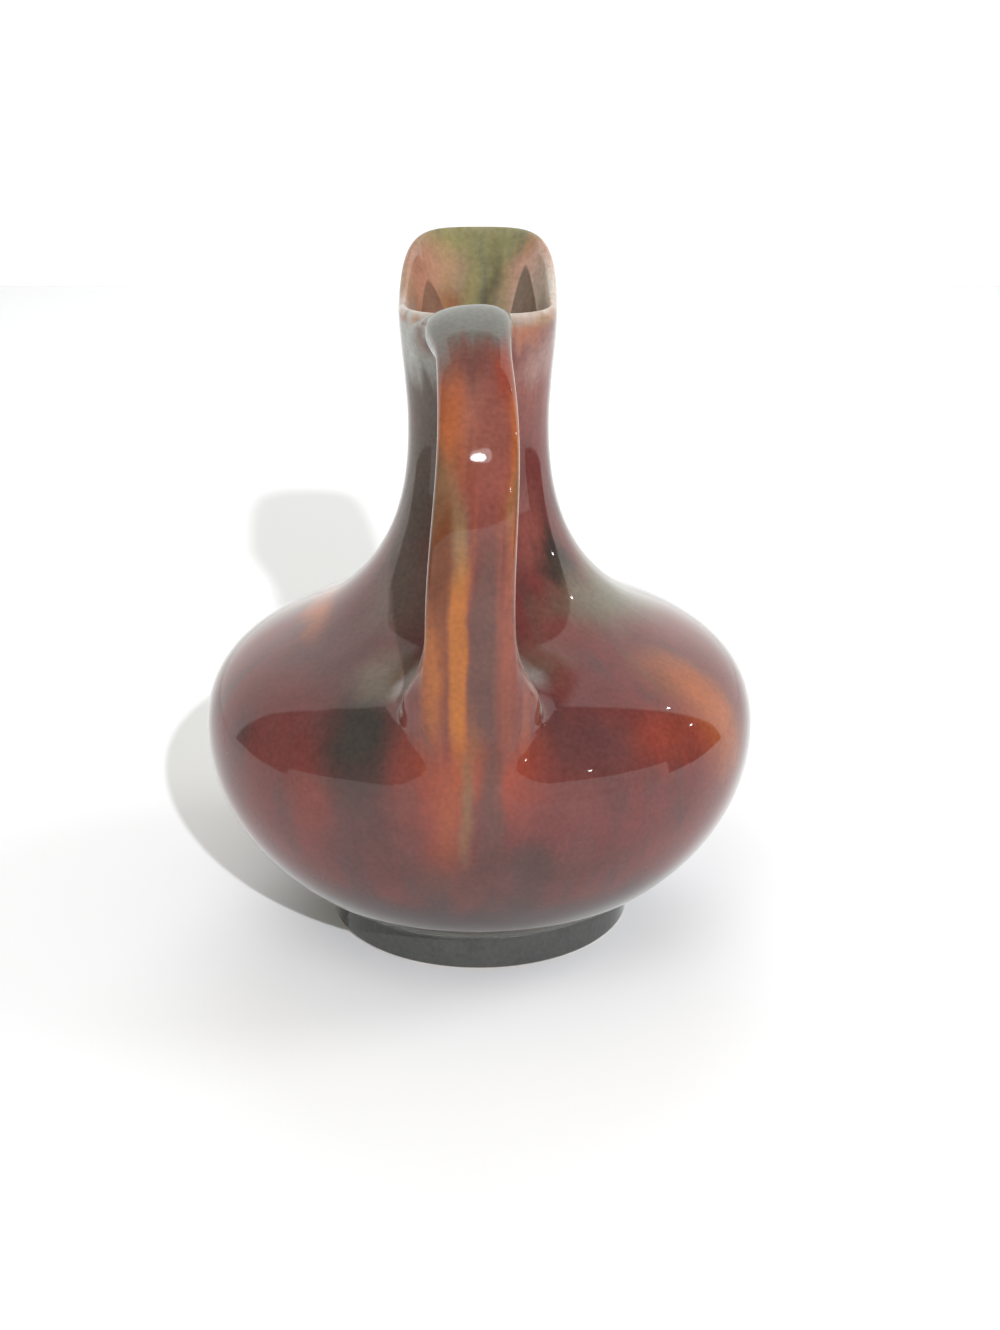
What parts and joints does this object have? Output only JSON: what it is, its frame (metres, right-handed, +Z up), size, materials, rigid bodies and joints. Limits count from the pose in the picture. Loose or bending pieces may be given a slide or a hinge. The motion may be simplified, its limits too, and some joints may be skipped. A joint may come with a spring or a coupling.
{
  "type": "ewer",
  "caption": "Small squat glazed pottery ewer with a slim waisted neck, a softly squared mouth rising to a pouring lip, a strap handle and a low foot ring.",
  "frame": {"origin": "centre of the foot ring on the table that the ewer stands on, which is the bottom centre of the part's box", "axes": "+Z up along the neck, +Y towards the pouring lip, -Y towards the handle, +X to the right when the handle faces the viewer"},
  "size_m": [0.13, 0.13, 0.1619],
  "materials": {
    "foot_glaze": "glossy dark brown-grey glaze",
    "belly_glaze": "glossy streaked oxblood, plum and brown glaze",
    "neck_glaze": "glossy dark brown glaze with green and plum streaks",
    "mouth_glaze": "glossy olive and terracotta glaze, thin at the rim",
    "handle_glaze": "glossy orange-red and amber running glaze"
  },
  "bodies": {
    "root": {"foot_ring": "foot_glaze", "belly_lower": "belly_glaze", "belly_upper": "belly_glaze", "neck": "neck_glaze", "mouth": "mouth_glaze", "handle": "handle_glaze", "handle_upper_join": "handle_glaze", "handle_lower_join": "handle_glaze"}
  },
  "joints": []
}
